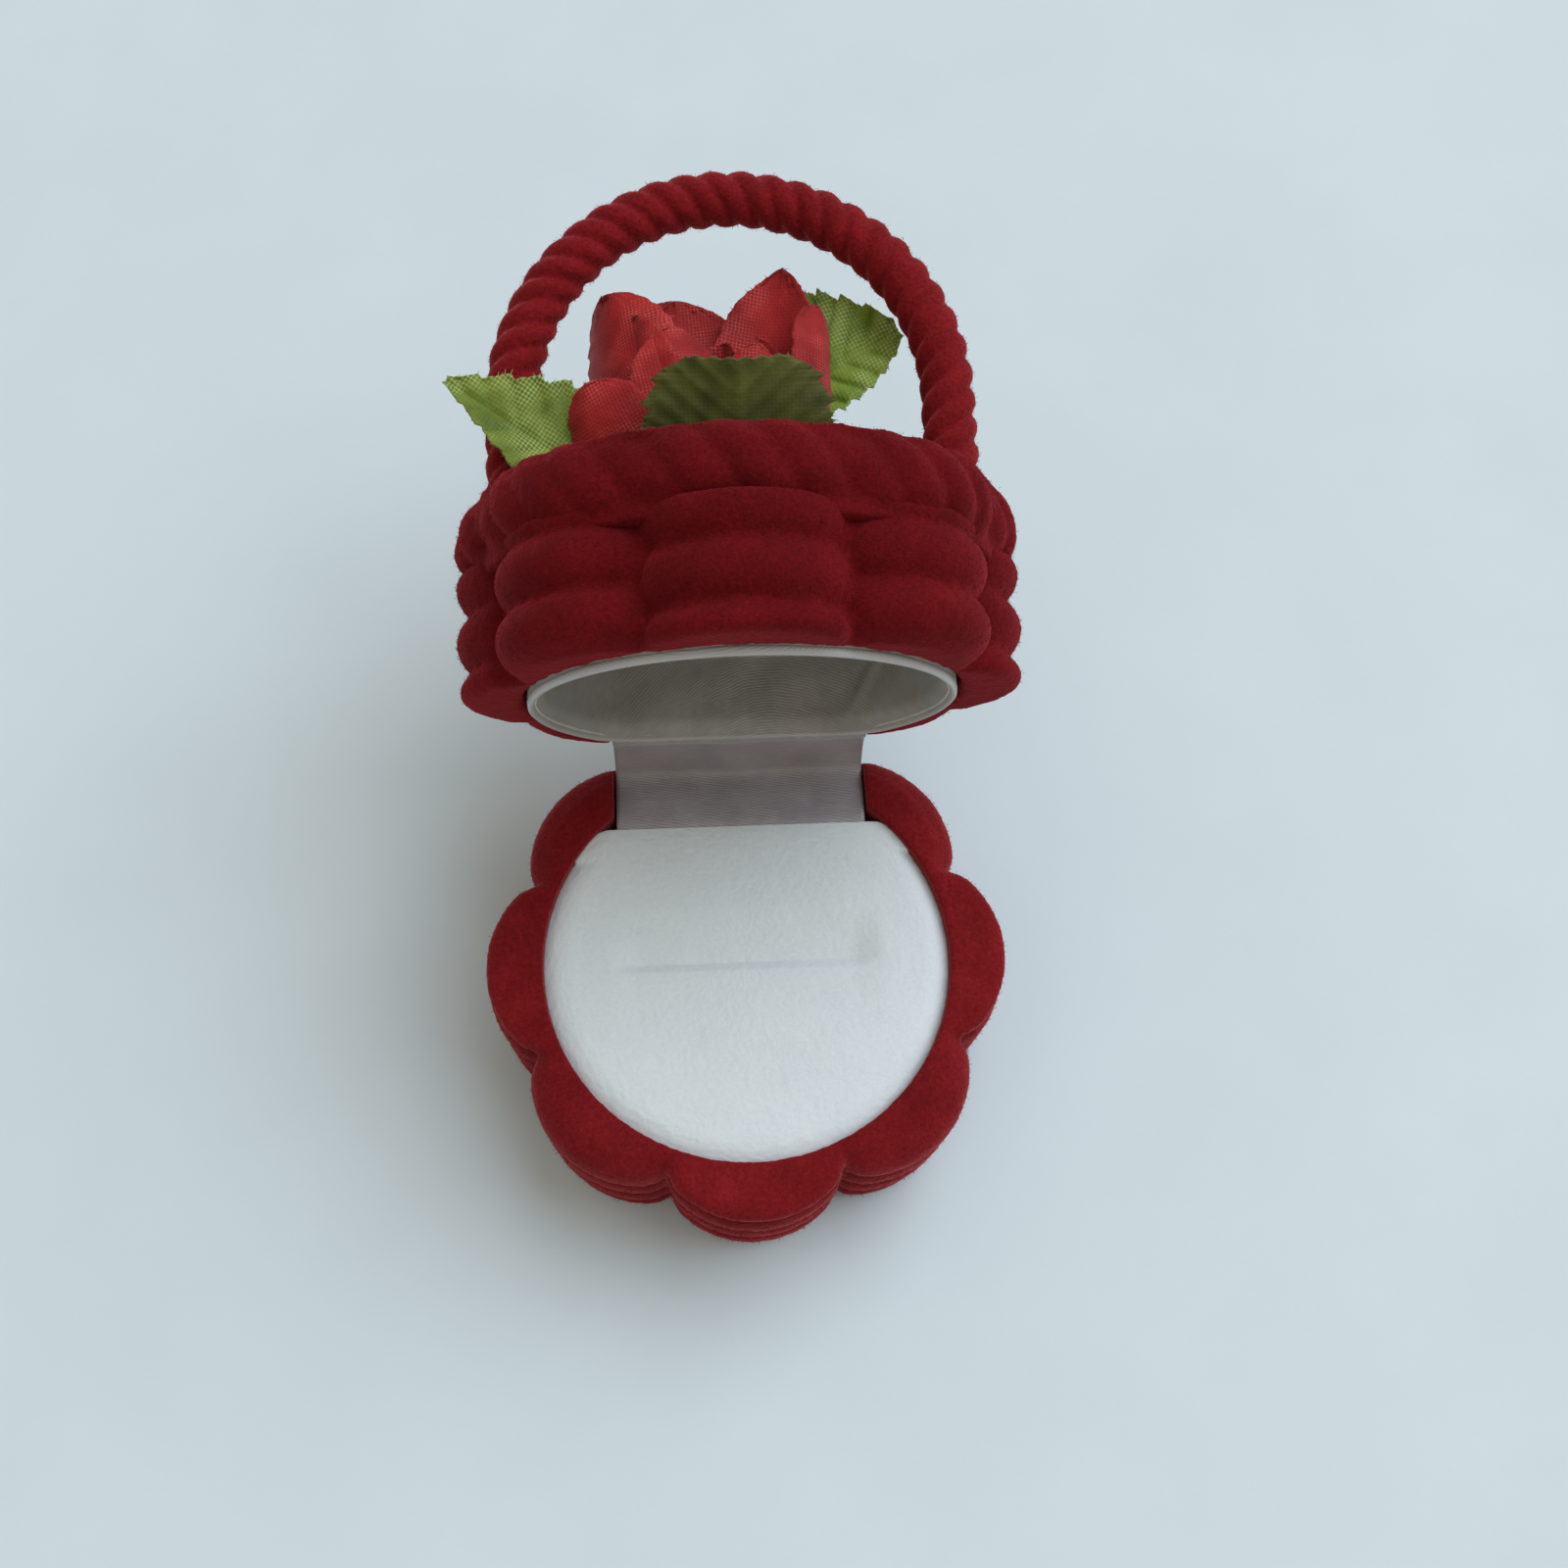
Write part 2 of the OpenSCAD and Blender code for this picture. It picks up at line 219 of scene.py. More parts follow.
def fibres(piece, body, slot, per_mm2, keep):
    """The nap itself: short hairs standing off a flocked body where keep() allows them."""
    data = piece.data
    count = len(data.polygons)
    centres, normals = np.zeros(count * 3), np.zeros(count * 3)
    areas = np.zeros(count)
    data.polygons.foreach_get("center", centres)
    data.polygons.foreach_get("normal", normals)
    data.polygons.foreach_get("area", areas)
    centres, normals = centres.reshape(-1, 3) / MM, normals.reshape(-1, 3)
    chosen = np.flatnonzero(keep(centres))
    weights = areas[chosen] / areas[chosen].sum()
    total = int(areas[chosen].sum() / MM ** 2 * per_mm2)
    picks = RNG.choice(chosen, total, p=weights)
    roots = centres[picks] + RNG.normal(0, 0.12, (total, 3)) - 0.12 * normals[picks]
    lean = normals[picks] + RNG.normal(0, 0.38, (total, 3))
    lean /= np.linalg.norm(lean, axis=1, keepdims=True)
    side = np.cross(lean, RNG.normal(0, 1, (total, 3)))
    side *= 0.028 / np.linalg.norm(side, axis=1, keepdims=True)
    reach = HAIR_LENGTH * RNG.uniform(0.55, 1.1, (total, 1)) + 0.12
    points = np.stack([roots - side, roots + side, roots + lean * reach], axis=1).reshape(-1, 3)
    faces = np.arange(total * 3).reshape(-1, 3)
    nap = mesh(piece.name + "_nap", points, faces, data.materials[0])
    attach(nap, body)


# ---------------------------------------------------------------- materials

class Shader:
    """A material whose node graph is written as calls."""

    def __init__(self, name, **sockets):
        self.material = bpy.data.materials.new(name)
        self.material.use_nodes = True
        self.tree = self.material.node_tree
        self.bsdf = next(n for n in self.tree.nodes if n.type == "BSDF_PRINCIPLED")
        for socket, value in sockets.items():
            self.bsdf.inputs[socket.replace("_", " ")].default_value = value

    def node(self, kind, inputs=None, **settings):
        made = self.tree.nodes.new(kind)
        for key, value in settings.items():
            setattr(made, key, value)
        for key, value in (inputs or {}).items():
            if isinstance(value, bpy.types.NodeSocket):
                self.tree.links.new(value, made.inputs[key])
            else:
                made.inputs[key].default_value = value
        return made

    def coords(self, kind="Object"):
        return self.node("ShaderNodeTexCoord").outputs[kind]

    def noise(self, size, detail=3.0, rough=0.55, kind="Object", stretch=None, seed=0.0):
        """Noise whose features are about size millimetres across."""
        where = self.coords(kind)
        if stretch or seed:
            where = self.node("ShaderNodeMapping", {"Vector": where, "Location": (seed, seed, 0),
                                                    "Scale": stretch or (1, 1, 1)}).outputs[0]
        unit = 1 / (size * MM) if kind == "Object" else 1 / size
        return self.node("ShaderNodeTexNoise", {"Vector": where, "Scale": unit,
                                                "Detail": detail, "Roughness": rough}).outputs[0]

    def math(self, operation, a, b=0.0):
        return self.node("ShaderNodeMath", {0: a, 1: b}, operation=operation).outputs[0]

    def ramp(self, value, stops):
        made = self.node("ShaderNodeValToRGB", {"Fac": value})
        elements = made.color_ramp.elements
        while len(elements) < len(stops):
            elements.new(0.5)
        for element, (position, colour) in zip(elements, stops):
            element.position = position
            element.color = (*colour, 1)
        return made.outputs[0]

    def mix(self, share, a, b, blend="MIX"):
        made = self.node("ShaderNodeMix", data_type="RGBA", blend_type=blend)
        for socket, value in ((made.inputs[0], share), (made.inputs[6], a), (made.inputs[7], b)):
            if isinstance(value, bpy.types.NodeSocket):
                self.tree.links.new(value, socket)
            else:
                socket.default_value = value if isinstance(value, float) else (*value, 1)
        return made.outputs[2]

    def bump(self, height, distance, strength=1.0, under=None):
        inputs = {"Height": height, "Distance": distance * MM, "Strength": strength}
        if under is not None:
            inputs["Normal"] = under
        return self.node("ShaderNodeBump", inputs).outputs[0]

    def set(self, socket, value):
        self.tree.links.new(value, self.bsdf.inputs[socket])

    def weave(self, pitch):
        """(height, warp share) of a plain weave on the cloth's own coordinates."""
        where = self.node("ShaderNodeSeparateXYZ", {0: self.coords("UV")})
        turn = math.pi / pitch
        u = self.math("MULTIPLY", where.outputs[0], turn)
        v = self.math("MULTIPLY", where.outputs[1], turn)
        su, sv = self.math("SINE", u), self.math("SINE", v)
        across = self.math("MULTIPLY", su, sv)
        ridge = self.math("MULTIPLY", self.math("ABSOLUTE", su), self.math("ABSOLUTE", sv))
        return ridge, self.math("ADD", self.math("MULTIPLY", across, 0.5), 0.5)


def velvet(name, dark, mid, light, sheen_tint, sheen=0.55, relief=1.0):
    """Flocking: a dense nap of short fibres with soft lighter and darker patches."""
    s = Shader(name, Roughness=0.92, Sheen_Weight=sheen, Sheen_Roughness=0.42,
               Sheen_Tint=(*sheen_tint, 1), Specular_IOR_Level=0.12)
    patches = s.noise(5.5, detail=4.0)
    fibres = s.noise(0.34, detail=2.0, rough=0.7)
    both = s.math("ADD", s.math("MULTIPLY", patches, 0.42), s.math("MULTIPLY", fibres, 0.58))
    s.set("Base Color", s.ramp(both, [(0.32, dark), (0.5, mid), (0.7, light)]))
    s.set("Normal", s.bump(fibres, 0.22 * relief, 0.55,
                          under=s.bump(s.noise(0.9), 0.16 * relief, 0.4)))
    return s.material


def petal_cloth():
    """Red gauze, with painted light: the gaps between its threads are painted paler, in patches,
    for light shining through.
    """
    s = Shader("petal_cloth", Roughness=0.62, Sheen_Weight=0.3, Sheen_Roughness=0.4,
               Sheen_Tint=(1.0, 0.4, 0.4, 1), Specular_IOR_Level=0.2)
    ridge, over = s.weave(0.33)
    tone = s.ramp(s.noise(4.0), [(0.3, (0.22, 0.0065, 0.007)), (0.5, (0.31, 0.011, 0.012)),
                                 (0.72, (0.43, 0.023, 0.023))])
    # Painted light: pale pink in the gaps between the threads, in noise patches, for light
    # shining through the gauze.
    gaps = s.ramp(ridge, [(0.0, (1, 1, 1)), (0.22, (0.25,) * 3), (0.36, (0, 0, 0))])
    gap_light_patches = s.ramp(s.noise(4.0, seed=2.0), [(0.46, (0.04,) * 3), (0.62, (0.8,) * 3)])
    s.set("Base Color", s.mix(s.mix(1.0, gaps, gap_light_patches, "MULTIPLY"), tone, (0.62, 0.11, 0.09)))
    s.set("Normal", s.bump(ridge, 0.07, 0.45, under=s.bump(over, 0.04, 0.4)))
    return s.material


def leaf_cloth(name, dark, mid, light, gap_light, show=1.0):
    """Open green gauze, with painted light: the gaps between its threads are painted paler, for
    light shining through; show is how strongly the gaps tell.
    """
    s = Shader(name, Roughness=0.6, Sheen_Weight=0.2, Sheen_Roughness=0.4,
               Specular_IOR_Level=0.25)
    ridge, over = s.weave(0.36)
    tone = s.ramp(s.noise(3.2, detail=4.0), [(0.3, dark), (0.52, mid), (0.74, light)])
    # Painted light: the gaps between the threads take the paler colour, in noise patches, for
    # light shining through the open weave.
    gap_share = s.ramp(ridge, [(0.0, (show,) * 3), (0.14, (0.55 * show,) * 3), (0.3, (0, 0, 0))])
    patch = s.ramp(s.noise(5.0, seed=3.0), [(0.42, (0.1,) * 3), (0.6, (1, 1, 1))])
    s.set("Base Color", s.mix(s.mix(1.0, gap_share, patch, "MULTIPLY"), tone, gap_light))
    s.set("Normal", s.bump(ridge, 0.07, 0.4 * show, under=s.bump(over, 0.04, 0.4 * show)))
    return s.material


def satin(name, dark, light, stain, lip=None):
    """Woven satin: long floats one way, with a soft broken sheen.

    lip is (distance from the middle of the cloth, colour) of a rolled edge that is painted paler:
    a painted highlight."""
    pitch = 0.3
    s = Shader(name, Roughness=0.34, Sheen_Weight=0.25, Sheen_Roughness=0.3,
               Specular_IOR_Level=0.6, Anisotropic=0.6)
    where = s.node("ShaderNodeSeparateXYZ", {0: s.coords("UV")})
    slope = s.math("ADD", where.outputs[1], s.math("MULTIPLY", where.outputs[0], 0.22))
    wander = s.math("MULTIPLY", s.noise(2.5, kind="UV"), 0.5)
    lines = s.math("SINE", s.math("MULTIPLY", s.math("ADD", slope, wander), 2 * math.pi / pitch))
    floats = s.noise(0.5, kind="UV", stretch=(0.35, 3.0, 1))
    height = s.math("ADD", s.math("MULTIPLY", lines, 0.3), floats)
    tone = s.ramp(s.math("ADD", s.math("MULTIPLY", s.noise(6.0, kind="UV"), 0.5),
                         s.math("MULTIPLY", height, 0.33)),
                  [(0.25, dark), (0.6, light), (0.9, light)])
    blotch = s.ramp(s.noise(11.0, kind="UV", seed=5.0), [(0.5, (0, 0, 0)), (0.75, (1, 1, 1))])
    colour = s.mix(s.math("MULTIPLY", blotch, 0.5), tone, stain)
    # Painted highlight: the rolled lip takes a paler colour where it catches the light.
    if lip:
        reach = s.node("ShaderNodeVectorMath", {0: s.coords("UV")}, operation="LENGTH").outputs[1]
        share = s.node("ShaderNodeMapRange", {0: reach, 1: lip[0], 2: lip[0] + 0.7}).outputs[0]
        colour = s.mix(share, colour, lip[1])
    s.set("Base Color", colour)
    s.set("Normal", s.bump(height, 0.045, 0.6))
    return s.material


def steel():
    """Stamped sheet steel with a drawn grain."""
    s = Shader("stamped_steel", Metallic=1.0)
    grain = s.noise(0.8, detail=5.0, stretch=(0.08, 1, 1))
    s.set("Base Color", s.ramp(grain, [(0.3, (0.45, 0.45, 0.46)), (0.7, (0.68, 0.68, 0.69))]))
    s.set("Roughness", s.ramp(grain, [(0.2, (0.28,) * 3), (0.8, (0.45,) * 3)]))
    s.set("Normal", s.bump(grain, 0.02, 0.4))
    return s.material


def plain_grain(name, dark, light, size, depth, rough=0.7):
    """Card, foam or moulded plastic: two tones of grain with matching relief."""
    s = Shader(name, Roughness=rough, Specular_IOR_Level=0.3)
    grain = s.noise(size, detail=5.0)
    s.set("Base Color", s.ramp(grain, [(0.3, dark), (0.7, light)]))
    s.set("Normal", s.bump(grain, depth, 0.6))
    return s.material


RED_FLOCK = velvet("red_flock", (0.105, 0.0030, 0.0050), (0.165, 0.0055, 0.0082),
                   (0.24, 0.011, 0.014), (1.0, 0.20, 0.22), sheen=0.55)
# Painted shade: a darker copy of the red flock, with less sheen, for the lid and its braid.
SHADED_FLOCK = velvet("red_flock_painted_shade", (0.070, 0.0012, 0.0026), (0.114, 0.0022, 0.0042),
                    (0.168, 0.0045, 0.0072), (1.0, 0.07, 0.10), sheen=0.34)
# Painted light: a lighter copy of the red flock, with more sheen, for the rope handle.
LIT_FLOCK = velvet("red_flock_painted_light", (0.110, 0.0028, 0.0046), (0.178, 0.0056, 0.0082),
                      (0.255, 0.011, 0.014), (1.0, 0.18, 0.20), sheen=0.60)
WHITE_FLOCK = velvet("white_flock", (0.62, 0.675, 0.705), (0.66, 0.715, 0.745),
                     (0.69, 0.745, 0.775), (1.0, 1.0, 1.0), sheen=0.2, relief=0.35)
PETAL = petal_cloth()
# The last colour of each leaf cloth is painted light in the gaps between its threads.
LEAF = leaf_cloth("leaf_cloth", (0.080, 0.120, 0.010), (0.140, 0.190, 0.018),
                  (0.21, 0.265, 0.032), (0.46, 0.56, 0.20))
PALE_LEAF = leaf_cloth("pale_leaf_cloth", (0.14, 0.235, 0.018), (0.235, 0.355, 0.036),
                       (0.34, 0.47, 0.07), (0.66, 0.80, 0.40))
# Painted shade: a darker copy of the leaf cloth for the front leaf, whose underside faces away
# from the light.
SHADED_LEAF = leaf_cloth("leaf_cloth_painted_shade", (0.042, 0.046, 0.007), (0.072, 0.076, 0.011),
                       (0.115, 0.118, 0.020), (0.11, 0.115, 0.022), show=0.35)
RIBBON = satin("ribbon_satin", (0.22, 0.20, 0.215), (0.37, 0.34, 0.365), (0.19, 0.21, 0.26))
STEEL = steel()
FOAM = plain_grain("foam_cells", (0.72, 0.72, 0.70), (0.86, 0.86, 0.84), 0.8, 0.1, 0.95)
CARD = plain_grain("liner_board", (0.52, 0.50, 0.45), (0.68, 0.66, 0.60), 1.2, 0.03, 0.9)
STEM = plain_grain("stem_plastic", (0.04, 0.10, 0.015), (0.08, 0.17, 0.03), 1.5, 0.05, 0.45)


# ---------------------------------------------------------------- moulded shells

def from_crown(angle, lobe):
    """The angle measured from the middle of one lobe."""
    return (angle - lobe * LOBE_STEP + math.pi) % (2 * math.pi) - math.pi


def lobe_radius(offset):
    """The radius of one lobe's arc at an angle from its middle."""
    side = np.clip(LOBE_ARC_R ** 2 - (LOBE_C * np.sin(offset)) ** 2, 0, None)
    return LOBE_C * np.cos(offset) + np.sqrt(side)


def lobed_radius(angle):
    """The outline of all the lobes."""
    nearest = (angle + LOBE_STEP / 2) % LOBE_STEP - LOBE_STEP / 2
    return lobe_radius(nearest)


def woven_radius(angle, s, shift):
    """Rows of pillows with rounded ends: each lobe's sit half a row off its neighbours'."""
    half_row, straight, lap = 0.55 * ROW_PITCH, 0.315, 24.0
    total, blend = np.zeros_like(angle), 0.30
    for lobe in range(LOBES):
        offset = from_crown(angle, lobe)
        row = s - shift - (lobe % 2) * ROW_PITCH / 2
        away = np.abs((row + ROW_PITCH / 2) % ROW_PITCH - ROW_PITCH / 2)
        past = np.clip(np.abs(offset) - straight, 0, None) * lap
        share = np.clip(np.hypot(away, past) / half_row, 0, 1)
        drop = 0.5 * (1 - np.sqrt(1 - share ** 2)) + 0.5 * share ** 2
        radius = lobe_radius(offset) - ROW_DEPTH * drop - 0.5 * np.clip(past - half_row, 0, 9)
        total += np.where(np.abs(offset) < 0.68, np.exp((radius - LOBE_R) / blend), 0.0)
    return LOBE_R + blend * np.log(total)


def d_radius(angle, radius, cut_y, soft=0.0):
    """A circle cut straight at the back; soft rounds the two corners."""
    straight = cut_y / np.maximum(np.sin(angle), 1e-6)
    straight = np.where(np.sin(angle) > 0.05, straight, radius * 4)
    if soft:
        h = np.clip(0.5 + 0.5 * (straight - radius) / soft, 0, 1)
        return straight * (1 - h) + radius * h - soft * h * (1 - h)
    return np.minimum(straight, radius)


def ring(radius, z, angle):
    """Points at one height all the way round."""
    return np.stack([radius * np.cos(angle), radius * np.sin(angle),
                     np.broadcast_to(z, angle.shape)], axis=-1)


def rounded_over(distance, size):
    """How far a rounded edge steps in at a distance from the face it runs into."""
    return size - math.sqrt(size ** 2 - max(size - distance, 0) ** 2)


def moulded(name, levels, outer, bore, material, lid=False):
    """A tub from its outer and inner outlines; the base opens upwards and the lid downwards."""
    angle = np.linspace(0, 2 * math.pi, 540, endpoint=False)
    rings = [ring(outer(angle, z), z, angle) for z in levels]
    if lid:
        rings = [ring(bore(angle), z, angle) for z in (WEAVE_H - LID_PLATE_T, levels[0])] + rings
    else:
        rings += [ring(bore(angle), z, angle) for z in (levels[-1], FLOOR_T)]
    return stacked(name, rings, material, lid=lid)


def make_base():
    """The tub, notched at the back for the ribbon and the hinge."""
    foot_round = 2.4

    def outer(angle, z):
        s = BASE_TOP - z
        inset = rounded_over(z, foot_round) + rounded_over(s, EDGE_ROUND)
        taper = 0.055 * max(0.0, s - 4)
        return woven_radius(angle, s, 0.3) - taper - inset

    levels = list(np.linspace(0.02, foot_round, 8)) + list(np.linspace(2.8, 17.8, 56))
    levels += [BASE_TOP - EDGE_ROUND * (1 - math.sin(t)) for t in np.linspace(0, math.pi / 2, 9)]
    base = moulded("base_flocked_tub", levels, outer,
                   lambda a: d_radius(a, BORE_R, BASE_CUT_Y), RED_FLOCK)
    half, drop = NOTCH_W / 2, NOTCH_DROP
    cut(base, (-half, BASE_CUT_Y - 2, BASE_TOP - drop), (half, 60, BASE_TOP + 5))
    wide, back, tall = BACK_CLEAR
    cut(base, (-wide / 2, back, BASE_TOP - tall), (wide / 2, 60, BASE_TOP + 5))
    flocked(base)
    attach(base, "base")
    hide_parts("base_shell")
    fibres(base, "base", "flocked_shell", HAIRS_PER_MM2, lambda p: (p[:, 2] > 0.6)
           & (np.hypot(p[:, 0], p[:, 1]) > BORE_R + 0.6) & (p[:, 2] < BASE_TOP - 0.35)
           & (np.abs(p[:, 0]) + (p[:, 1] < 0) * 99 > NOTCH_W / 2 + 0.5))


def make_lid():
    """The lid's tub, with the same notches as the base."""
    def outer(angle, z):
        mouth, top = rounded_over(z - 0.1, EDGE_ROUND), rounded_over(WEAVE_H + 0.3 - z, 1.3)
        return woven_radius(angle, z, 0.35) - mouth - top

    levels = [0.1 + EDGE_ROUND * (1 - math.cos(t)) for t in np.linspace(0, 1.3, 9)]
    levels += list(np.linspace(1.4, 11.1, 38)) + list(np.linspace(11.3, WEAVE_H + 0.2, 8))
    # The lid's flock is painted darker: painted shade.
    lid = moulded("lid_flocked_tub", levels, outer,
                  lambda a: d_radius(a, LINER_R + 0.2, LID_CUT_Y), SHADED_FLOCK, lid=True)
    half, drop = NOTCH_W / 2, NOTCH_DROP
    cut(lid, (-half, LID_CUT_Y - 2, -5), (half, 60, drop), lid=True)
    wide, back, tall = BACK_CLEAR
    cut(lid, (-wide / 2, back, -5), (wide / 2, 60, tall), lid=True)
    flocked(lid)
    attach(lid, "lid")
    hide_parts("lid_shell")
    fibres(lid, "lid", "flocked_shell", HAIRS_PER_MM2, lambda p: over_mouth(p)[:, 2] > 0.7)


def make_rim():
    """The braid: 32 plump strands that lean a little and roll over the rim's top edge."""
    strands, depth, lean = 32, 0.95, math.radians(9)
    angle = np.linspace(0, 2 * math.pi, strands * 26, endpoint=False)
    profile = [(-1.7, 2.0), (-0.9, 1.6), (-0.4, 1.2), (0.1, 0.7), (0.8, 0.2), (1.7, -0.1),
               (2.7, -0.1), (3.6, 0.05), (4.5, 0.35), (5.3, 0.85), (5.9, 1.4), (6.3, 1.95)]
    inner = [(6.3, 0.16), (5.7, 0.0), (1.2, 0.0), (0.5, -0.3), (0.15, -1.7), (-1.7, -1.7)]
    outline = LOBE_R - 0.45 * (LOBE_R - lobed_radius(angle))
    rings = []
    for z, inset in profile:
        turned = angle + lean * (z / RIM_H)
        across = ((turned * strands / (2 * math.pi)) % 1.0) * 2 - 1
        flute = depth * (1 - np.sqrt(np.clip(1 - across ** 2, 0, 1)))
        lift = -0.35 * flute / depth if z > 5 else 0.0
        radius = np.maximum(outline - inset - flute, RIM_INNER_R + 0.75)
        rings.append(ring(radius, WEAVE_H + z + lift, angle))
    rings += [ring(np.full_like(angle, RIM_INNER_R) + out, WEAVE_H + z, angle)
              for z, out in inner]
    points = np.array(rings)
    rows, columns = points.shape[:2]
    faces = grid_faces(rows, columns, wrap_rows=True, wrap_columns=True)
    # The braid's flock is painted darker: painted shade.
    rim = mesh("braided_rim_flocked", on_lid(points.reshape(-1, 3)), faces, SHADED_FLOCK)
    flocked(rim, voxel=0.36, rounds=2, pile=0.07)
    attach(rim, "lid")
    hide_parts("braided_rim")
    fibres(rim, "lid", "flocked_shell", HAIRS_PER_MM2,
           lambda p: over_mouth(p)[:, 2] > WEAVE_H + 0.3)


def handle_line(d):
    """(x, z, direction) of the handle's centre line at a distance from its left foot."""
    leg = HANDLE_TOP - HANDLE_HALF_W - WEAVE_H
    arch = math.pi * HANDLE_HALF_W
    if d < leg:
        return -HANDLE_HALF_W, WEAVE_H + d, math.pi / 2
    if d > leg + arch:
        return HANDLE_HALF_W, WEAVE_H + 2 * leg + arch - d, -math.pi / 2
    turn = math.pi - (d - leg) / HANDLE_HALF_W
    return (HANDLE_HALF_W * math.cos(turn), WEAVE_H + leg + HANDLE_HALF_W * math.sin(turn),
            turn - math.pi / 2)


def make_handle():
    """A rope of three strands, seen as a row of scallops along each edge."""
    leg = HANDLE_TOP - HANDLE_HALF_W - WEAVE_H
    length = 2 * leg + math.pi * HANDLE_HALF_W
    starts, pitch, depth = 3, 2.65, 0.9
    around = np.linspace(0, 2 * math.pi, 40, endpoint=False)
    rings = []
    for d in np.linspace(-0.8, length + 0.8, 620):
        x, z, heading = handle_line(min(max(d, 0.0), length))
        z += min(d, 0.0) if d < length / 2 else -max(d - length, 0.0)
        across = ((around * starts / (2 * math.pi) - d / pitch) % 1.0) * 2 - 1
        radius = ROPE_R + 0.3 - depth * (1 - np.sqrt(np.clip(1 - across ** 2, 0, 1)))
        u, v = radius * np.cos(around), radius * np.sin(around)
        rings.append(np.stack([x + u * math.sin(heading), v, z - u * math.cos(heading)], axis=-1))
    # The handle's flock is painted lighter: painted light.
    handle = stacked("rope_handle_flocked", rings, LIT_FLOCK, lid=True)
    flocked(handle, voxel=0.27, rounds=1, pile=0.06)
    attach(handle, "lid")
    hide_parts("rope_handle")
    fibres(handle, "lid", "flocked_shell", 12, lambda p: np.ones(len(p), bool))


# ---------------------------------------------------------------- insert, liner and ribbon

def soft_step(value, low, high):
    """0 below low and 1 above high, with an eased way between."""
    t = np.clip((value - low) / (high - low), 0, 1)
    return t * t * (3 - 2 * t)


def make_insert():
    """A flocked card over foam: crowned edges and a ring slot at the foot of two soft slopes."""
    angle = np.linspace(0, 2 * math.pi, 400, endpoint=False)
    shares = np.concatenate([np.linspace(0, 0.86, 84), np.linspace(0.87, 1.0, 22)])
    edge = d_radius(angle, INSERT_R + 0.3, INSERT_CUT_Y, soft=0.8)
    rings = []
    for share in shares:
        x, y = share * edge * np.cos(angle), share * edge * np.sin(angle)
        back_edge = np.where(y > 11, 0.25, 1.0)
        crown = -0.8 * np.clip((share - 0.86) / 0.14, 0, 1) ** 2.2 * back_edge
        inside = 1 - soft_step(np.abs(x), 10.4, 14.2)
        behind = inside * (y > 0) * np.clip(1 - y / 5.5, 0, 1)
        ahead = inside * (y <= 0) * (0.55 * np.clip(1 + y / 0.9, 0, 1)
                                     + 0.45 * np.clip(1 + y / 8.0, 0, 1))
        rings.append(np.stack([x, y, CARD_TOP + 0.15 + crown - behind - ahead], axis=-1))
    low = CARD_TOP - 1.4
    rings += [ring(edge * f, z, angle) for f, z in ((1.0, low), (0.5, low), (0.002, low))]
    insert = stacked("ring_insert_flocked", rings, WHITE_FLOCK)
    add_pile(insert, 0.05)
    applied(insert)
    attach(insert, "base")
    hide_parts("insert_card")


def make_liner():
    """Satin drawn over a D-shaped cup: a rolled lip, soft corners and one slanting tuck."""
    angle = np.linspace(0, 2 * math.pi, 360, endpoint=False)
    profile = [(0.35, 0.5), (0.25, 0.0), (0.30, -0.35), (0.45, -0.5), (0.62, -0.4), (0.75, -0.15),
               (1.0, 0.2), (1.4, 0.8)]
    profile += [(1.5 + 0.25 * t, 0.7 + 6.5 * t) for t in np.linspace(0.1, 1, 14)]
    profile += [(1.75 + 3.2 * (1 - math.cos(t)), 7.2 + 1.2 * math.sin(t))
                for t in np.linspace(0.15, math.pi / 2, 10)]
    points = []
    for inset, z in profile:
        edge = d_radius(angle, LINER_R, LINER_CUT_Y, soft=2.2) - inset
        points.append((edge, z))
    floor_edge, floor_z = points[-1]
    points += [(floor_edge * share, floor_z + 0.1 * (1 - share ** 2))
               for share in np.linspace(0.96, 0.04, 24)]
    rings = []
    for edge, z in points:
        x, y = edge * np.cos(angle), edge * np.sin(angle)
        depth = np.clip(z / 8.0, 0, 1)
        tuck = 0.45 * np.exp(-((x - 12.5 - 2.2 * (depth - 0.5) * 2) / 0.55) ** 2)
        tuck = tuck * (y > 0) * np.sin(math.pi * depth)
        ripple = 0.10 * np.sin(angle * 9 + z * 0.7) * np.sin(math.pi * depth)
        scale = 1 - (tuck + ripple) / np.maximum(edge, 1)
        rings.append(np.stack([x * scale, y * scale, np.full_like(x, z)], axis=-1))
    rings = np.array(rings)
    reach = np.concatenate([[0], np.cumsum(np.linalg.norm(np.diff(rings, axis=0), axis=2)
                                           .mean(axis=1))])
    spread = (reach[-1] - reach)[:, None]
    uv = np.stack([spread * np.cos(angle), spread * np.sin(angle)], axis=-1)
    rows, columns = rings.shape[:2]
    # The liner's lip colour is a painted highlight.
    cloth = satin("liner_satin", (0.21, 0.20, 0.185), (0.37, 0.36, 0.34), (0.27, 0.23, 0.15),
                  lip=(reach[-1] - 1.5, (0.50, 0.51, 0.52)))
    liner = mesh("satin_liner_cloth", on_lid(rings.reshape(-1, 3)),
                 grid_faces(rows, columns, wrap_columns=True)
                 + [list(range((rows - 1) * columns, rows * columns))], cloth,
                 uv=uv.reshape(-1, 2))
    thicken(liner, LINER_CLOTH_T)
    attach(liner, "lid")
    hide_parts("satin_liner")


